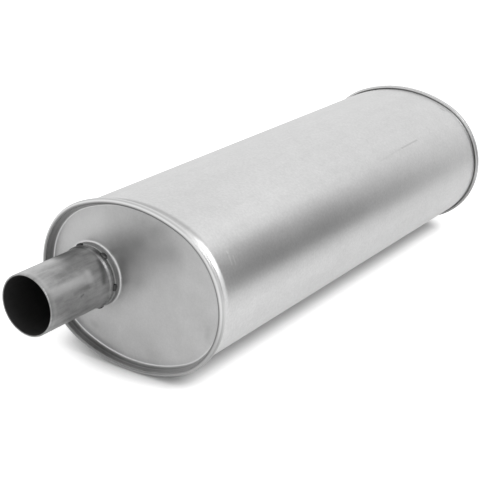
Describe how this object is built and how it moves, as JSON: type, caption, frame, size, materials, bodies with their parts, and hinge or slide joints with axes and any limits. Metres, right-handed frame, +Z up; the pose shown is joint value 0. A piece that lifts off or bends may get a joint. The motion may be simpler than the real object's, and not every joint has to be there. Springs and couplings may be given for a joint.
{
  "type": "muffler",
  "caption": "Oval exhaust muffler of aluminised sheet with rolled end rims, recessed heads and offset inlet and outlet pipe stubs; louvred tubes and baffles inside.",
  "frame": {"origin": "on the ground under the middle of the whole length and of the body's width", "axes": "+X along the muffler from the inlet to the outlet, +Y across it towards the inlet neck's side, +Z up, with the shell's folded seam underneath"},
  "size_m": [0.579, 0.1808, 0.1438],
  "materials": {
    "aluminised_skin": "matt aluminised sheet",
    "aluminised_head": "matt aluminised pressing",
    "bare_pipe": "bare drawn steel, streaked",
    "weld_bead": "dark weld scale",
    "inner_sheet": "matt aluminised sheet"
  },
  "bodies": {
    "root": {"outer_shell": "aluminised_skin", "inner_shell": "inner_sheet", "front_head": "aluminised_head", "rear_head": "aluminised_head", "inlet_neck": "bare_pipe", "outlet_neck": "bare_pipe", "inlet_tack_welds": "weld_bead", "outlet_tack_welds": "weld_bead", "inlet_tube": "inner_sheet", "return_tube": "inner_sheet", "outlet_tube": "inner_sheet", "tuning_tube": "inner_sheet", "front_baffle": "inner_sheet", "middle_baffle": "inner_sheet", "rear_baffle": "inner_sheet"}
  },
  "joints": []
}
